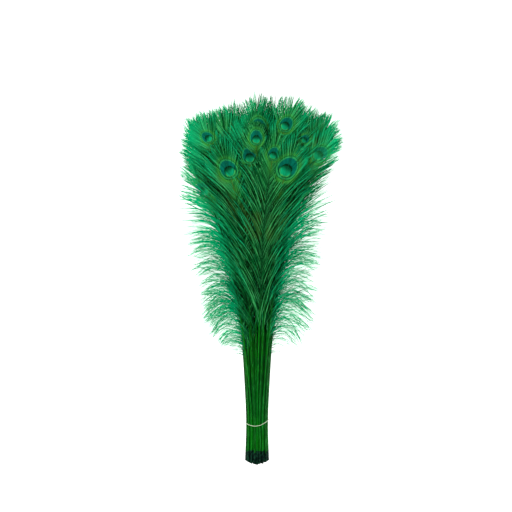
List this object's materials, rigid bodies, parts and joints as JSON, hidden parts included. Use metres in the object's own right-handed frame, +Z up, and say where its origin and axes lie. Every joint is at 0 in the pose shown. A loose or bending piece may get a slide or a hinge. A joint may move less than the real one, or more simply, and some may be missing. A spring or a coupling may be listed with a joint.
{
  "type": "tied bundle of peacock feathers",
  "caption": "Lying bundle of long dyed green peacock tail feathers, held by a cord round the bare quills and fanning out into overlapping eyes.",
  "frame": {"origin": "on the surface that the bundle lies on, under the middle of its box", "axes": "+Y from the cut quills to the eyes, +X across the fan, +Z up from the surface"},
  "size_m": [0.3856, 0.8486, 0.088],
  "materials": {
    "feather": "dyed feather with a soft silky sheen, darker at the cut quills",
    "tie": "matt twisted cotton"
  },
  "bodies": {
    "root": {"feather_01": "feather", "feather_02": "feather", "feather_03": "feather", "feather_04": "feather", "feather_05": "feather", "feather_06": "feather", "feather_07": "feather", "feather_08": "feather", "feather_09": "feather", "feather_10": "feather", "feather_11": "feather", "feather_12": "feather", "feather_13": "feather", "feather_14": "feather", "feather_15": "feather", "feather_16": "feather", "feather_17": "feather", "feather_18": "feather", "feather_19": "feather", "feather_20": "feather", "feather_21": "feather", "feather_22": "feather", "feather_23": "feather", "feather_24": "feather", "feather_25": "feather", "feather_26": "feather", "feather_27": "feather", "feather_28": "feather", "feather_29": "feather", "feather_30": "feather", "feather_31": "feather", "feather_32": "feather", "feather_33": "feather", "feather_34": "feather", "feather_35": "feather", "feather_36": "feather", "feather_37": "feather", "feather_38": "feather", "feather_39": "feather", "feather_40": "feather", "feather_41": "feather", "feather_42": "feather", "feather_43": "feather", "feather_44": "feather", "feather_45": "feather", "feather_46": "feather", "feather_47": "feather", "feather_48": "feather", "feather_49": "feather", "feather_50": "feather", "feather_51": "feather", "feather_52": "feather", "feather_53": "feather", "feather_54": "feather", "feather_55": "feather", "feather_56": "feather", "feather_57": "feather", "feather_58": "feather", "tie": "tie"}
  },
  "joints": []
}
